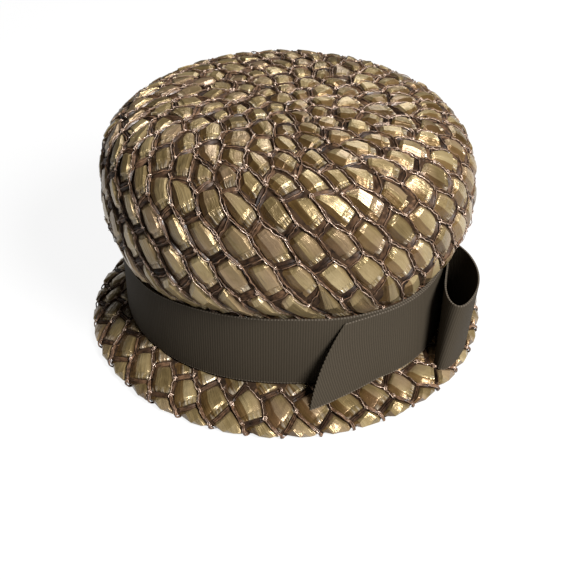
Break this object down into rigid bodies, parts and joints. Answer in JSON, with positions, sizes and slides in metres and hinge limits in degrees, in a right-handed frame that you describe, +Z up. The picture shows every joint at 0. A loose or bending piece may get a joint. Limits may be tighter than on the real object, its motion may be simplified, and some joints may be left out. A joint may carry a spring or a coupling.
{
  "type": "woven straw bucket hat",
  "caption": "Bucket hat with a full bell crown and short turned-down brim in glossy woven straw, with a ribbon band and a flat side bow.",
  "frame": {"origin": "on the surface that the brim's turned edge stands on, under the centre of the brim", "axes": "+Z up through the crown, -Y towards the hat's front, +X towards the wearer's left, where the bow sits"},
  "size_m": [0.2262, 0.2344, 0.1333],
  "materials": {
    "straw": "glossy woven cellophane straw, gold-taupe with brown binding strands",
    "ribbon": "matt grosgrain, dark taupe"
  },
  "bodies": {
    "root": {"crown": "straw", "brim": "straw", "ribbon_band": "ribbon", "bow_tail": "ribbon", "bow_loop": "ribbon"}
  },
  "joints": []
}
